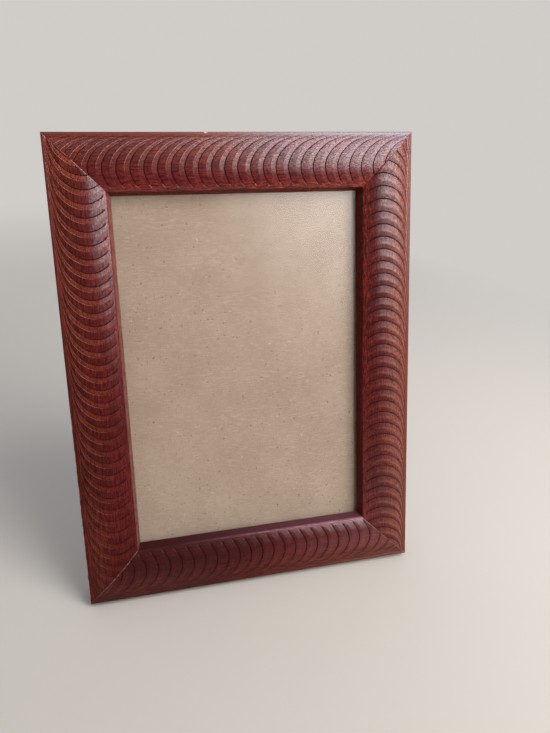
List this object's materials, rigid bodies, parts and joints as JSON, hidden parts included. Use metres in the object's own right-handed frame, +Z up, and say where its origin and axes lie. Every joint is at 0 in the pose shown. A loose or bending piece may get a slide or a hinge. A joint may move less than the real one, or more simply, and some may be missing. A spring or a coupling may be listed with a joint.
{
  "type": "picture frame",
  "caption": "Mitred wooden picture frame with a domed wave-carved moulding, glass, card and a back board whose folding strut stands it on a table.",
  "frame": {"origin": "on the table, at the centre of the standing frame's footprint", "axes": "+Z up, the picture faces -Y and leans back 10 degrees, +X to the right as the picture is seen"},
  "size_m": [0.166, 0.0688, 0.2171],
  "materials": {
    "stained_wood": "mahogany stain, satin varnish",
    "clear_glass": "polished",
    "kraft_card": "matt kraft liner",
    "hardboard": "smooth brown board",
    "plated_steel": "nickel plated",
    "nail_steel": "plain",
    "brass": "satin"
  },
  "bodies": {
    "frame": {"top_rail": "stained_wood", "bottom_rail": "stained_wood", "left_stile": "stained_wood", "right_stile": "stained_wood", "corner_v_nails": "nail_steel", "glass_pane": "clear_glass", "backing_card": "kraft_card", "back_board": "hardboard", "turn_button_screws": "plated_steel", "hinge_board_leaf": "plated_steel", "hinge_pin": "nail_steel", "hinge_board_rivets": "brass", "hanger_strap": "plated_steel", "hanger_rivet": "brass"},
    "strut": {"strut_leg": "hardboard", "hinge_strut_leaf": "plated_steel", "hinge_strut_rivets": "brass"},
    "hanger": {"hanger_ring": "plated_steel"},
    "button_upper_left": {"turn_button_upper_left": "plated_steel"},
    "button_upper_right": {"turn_button_upper_right": "plated_steel"},
    "button_lower_left": {"turn_button_lower_left": "plated_steel"},
    "button_lower_right": {"turn_button_lower_right": "plated_steel"}
  },
  "joints": [
    {"name": "strut_fold", "type": "hinge", "parent": "frame", "child": "strut", "pos_m": [0, 0.00746, 0.1474], "axis": [1, 0, 0], "range_deg": [-20, 0]},
    {"name": "hanger_swing", "type": "hinge", "parent": "frame", "child": "hanger", "pos_m": [0, 0.01349, 0.18391], "axis": [1, 0, 0], "range_deg": [-3, 170]},
    {"name": "button_upper_left_turn", "type": "hinge", "parent": "frame", "child": "button_upper_left", "pos_m": [-0.0735, 0.00807, 0.16151], "axis": [0, 0.9848, -0.1736], "continuous": true},
    {"name": "button_upper_right_turn", "type": "hinge", "parent": "frame", "child": "button_upper_right", "pos_m": [0.0735, 0.00807, 0.16151], "axis": [0, 0.9848, -0.1736], "continuous": true},
    {"name": "button_lower_left_turn", "type": "hinge", "parent": "frame", "child": "button_lower_left", "pos_m": [-0.0735, -0.01103, 0.05318], "axis": [0, 0.9848, -0.1736], "continuous": true},
    {"name": "button_lower_right_turn", "type": "hinge", "parent": "frame", "child": "button_lower_right", "pos_m": [0.0735, -0.01103, 0.05318], "axis": [0, 0.9848, -0.1736], "continuous": true}
  ]
}
